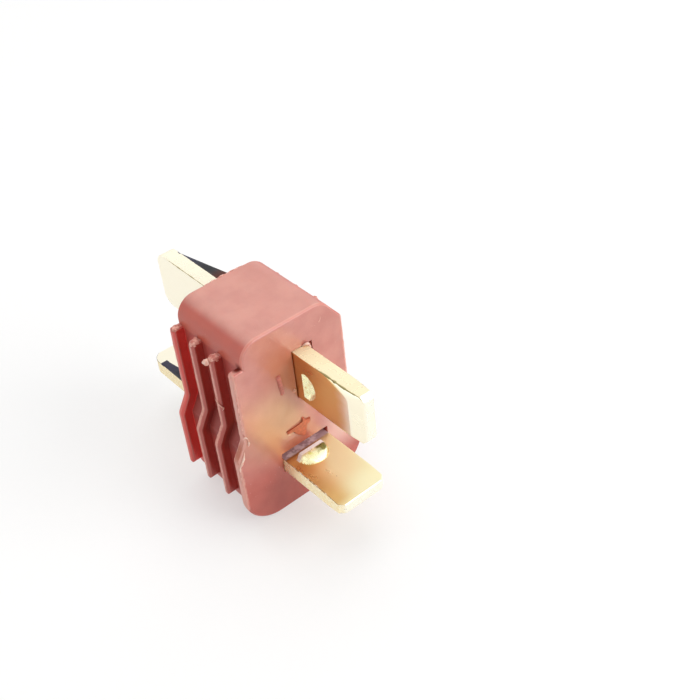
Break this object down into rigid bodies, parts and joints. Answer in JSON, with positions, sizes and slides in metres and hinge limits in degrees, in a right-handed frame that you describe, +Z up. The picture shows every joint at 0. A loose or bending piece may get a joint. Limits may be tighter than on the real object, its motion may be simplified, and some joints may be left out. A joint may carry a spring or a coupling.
{
  "type": "t plug battery connector",
  "caption": "Male T-shaped battery plug: stepped red nylon housing with grip ribs on both broad sides, flat gold-plated contacts at right angles, blades in front, solder tabs behind.",
  "frame": {"origin": "middle of the whole plug's outline in X and Y, on the floor: the housing stands on its narrow lower end", "axes": "+Z up along the housing's height, -Y the way the blades point, +X to the right for an eye that looks at the blades"},
  "size_m": [0.0108, 0.0238, 0.016],
  "materials": {
    "red_nylon": "moulded nylon with a slight sheen",
    "gold_plate": "thin bright gold plating on stamped brass"
  },
  "bodies": {
    "root": {"housing": "red_nylon", "upright_contact": "gold_plate", "level_contact": "gold_plate"}
  },
  "joints": []
}
